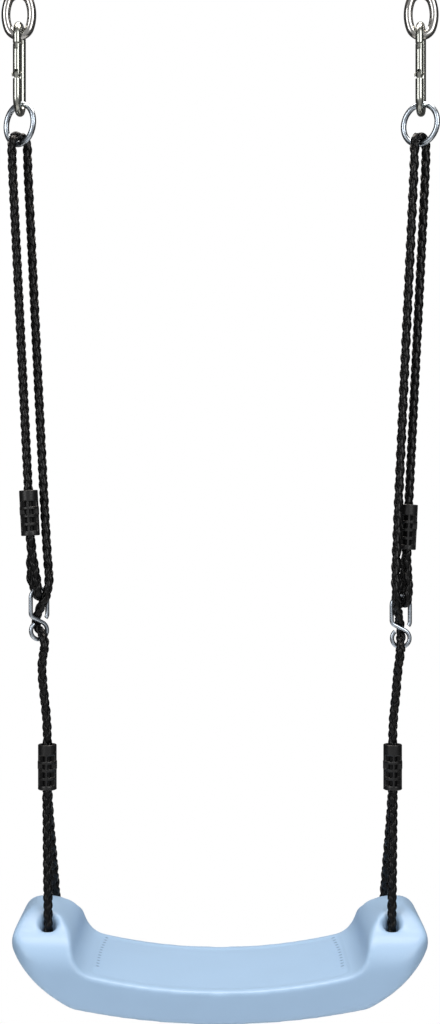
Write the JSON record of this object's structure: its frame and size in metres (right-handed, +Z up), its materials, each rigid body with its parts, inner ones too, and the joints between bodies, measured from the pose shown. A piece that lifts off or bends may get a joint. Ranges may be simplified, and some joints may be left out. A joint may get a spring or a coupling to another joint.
{
  "type": "playground swing",
  "caption": "Playground swing: a moulded plastic seat with raised ends on two plaited ropes with height adjusters, rings, snap hooks and hanger links.",
  "frame": {"origin": "midway between the two points where the hanger links bear on the beam's hooks", "axes": "+X to the right seen from the front, -Y the front, +Z up along the ropes"},
  "size_m": [0.4634, 0.164, 1.0705],
  "materials": {
    "blue_plastic": "satin",
    "black_plastic": "matte",
    "black_rope": "plaited",
    "zinc_steel": "zinc plated",
    "polished_steel": "polished",
    "bright_steel": "bright"
  },
  "bodies": {
    "hanger_links": {"left_hanger_link": "bright_steel", "right_hanger_link": "bright_steel"},
    "left_hook": {"left_snap_hook": "polished_steel", "left_gate_pin": "polished_steel"},
    "left_gate": {"left_gate": "polished_steel", "left_gate_spring": "polished_steel"},
    "left_ring": {"left_ring": "zinc_steel", "left_ring_rope": "black_rope"},
    "left_adjuster": {"left_adjuster_hook": "zinc_steel", "left_upper_ferrule": "black_plastic", "left_rope_eye": "black_rope", "left_hook_rope": "black_rope"},
    "left_drop": {"left_lower_rope": "black_rope", "left_lower_ferrule": "black_plastic"},
    "right_hook": {"right_snap_hook": "polished_steel", "right_gate_pin": "polished_steel"},
    "right_gate": {"right_gate": "polished_steel", "right_gate_spring": "polished_steel"},
    "right_ring": {"right_ring": "zinc_steel", "right_ring_rope": "black_rope"},
    "right_adjuster": {"right_adjuster_hook": "zinc_steel", "right_upper_ferrule": "black_plastic", "right_rope_eye": "black_rope", "right_hook_rope": "black_rope"},
    "right_drop": {"right_lower_rope": "black_rope", "right_lower_ferrule": "black_plastic"},
    "seat": {"seat": "blue_plastic", "left_seat_loop": "black_rope", "right_seat_loop": "black_rope"}
  },
  "joints": [
    {"name": "left_swing", "type": "hinge", "parent": "hanger_links", "child": "left_hook", "pos_m": [-0.2132, 0, -0.03925], "axis": [1, 0, 0], "range_deg": [-55, 55]},
    {"name": "left_gate_turn", "type": "hinge", "parent": "left_hook", "child": "left_gate", "pos_m": [-0.21333, -0.01398, -0.084], "axis": [-0.9986, 0.0523, 0], "range_deg": [0, 22], "stiffness_Nm_per_rad": 0.05, "springref_deg": -34.38},
    {"name": "left_ring_tilt", "type": "hinge", "parent": "left_hook", "child": "left_ring", "pos_m": [-0.2126, 0, -0.1063], "axis": [1, 0, 0], "range_deg": [-30, 30]},
    {"name": "left_height_adjust", "type": "slide", "parent": "left_ring", "child": "left_adjuster", "axis": [0, 0, 1], "range_m": [-0.03, 0.1], "deforming": ["left_ring_rope"]},
    {"name": "left_rope_drop", "type": "slide", "parent": "left_adjuster", "child": "left_drop", "axis": [0, 0, 1], "range_m": [-0.2, 0.06], "deforming": ["left_lower_rope"]},
    {"name": "right_swing", "type": "hinge", "parent": "hanger_links", "child": "right_hook", "pos_m": [0.2132, 0, -0.03925], "axis": [1, 0, 0], "range_deg": [-55, 55]},
    {"name": "right_gate_turn", "type": "hinge", "parent": "right_hook", "child": "right_gate", "pos_m": [0.20965, -0.01364, -0.084], "axis": [-0.9744, 0.225, 0], "range_deg": [0, 22], "stiffness_Nm_per_rad": 0.05, "springref_deg": -34.38},
    {"name": "right_ring_tilt", "type": "hinge", "parent": "right_hook", "child": "right_ring", "pos_m": [0.2128, 0, -0.1063], "axis": [1, 0, 0], "range_deg": [-30, 30]},
    {"name": "right_height_adjust", "type": "slide", "parent": "right_ring", "child": "right_adjuster", "axis": [0, 0, 1], "range_m": [-0.03, 0.1], "deforming": ["right_ring_rope"]},
    {"name": "right_rope_drop", "type": "slide", "parent": "right_adjuster", "child": "right_drop", "axis": [0, 0, 1], "range_m": [-0.2, 0.06], "deforming": ["right_lower_rope"]},
    {"name": "seat_pitch", "type": "hinge", "parent": "left_drop", "child": "seat", "pos_m": [-0.183, 0, -0.838], "axis": [1, 0, 0], "range_deg": [-15, 15], "deforming": ["left_seat_loop", "right_seat_loop"]}
  ],
  "couplings": [
    {"joint": "right_swing", "follows": "left_swing", "ratio": 1},
    {"joint": "right_ring_tilt", "follows": "left_ring_tilt", "ratio": 1},
    {"joint": "right_height_adjust", "follows": "left_height_adjust", "ratio": 1},
    {"joint": "left_rope_drop", "follows": "left_height_adjust", "ratio": -2},
    {"joint": "right_rope_drop", "follows": "left_height_adjust", "ratio": -2}
  ]
}
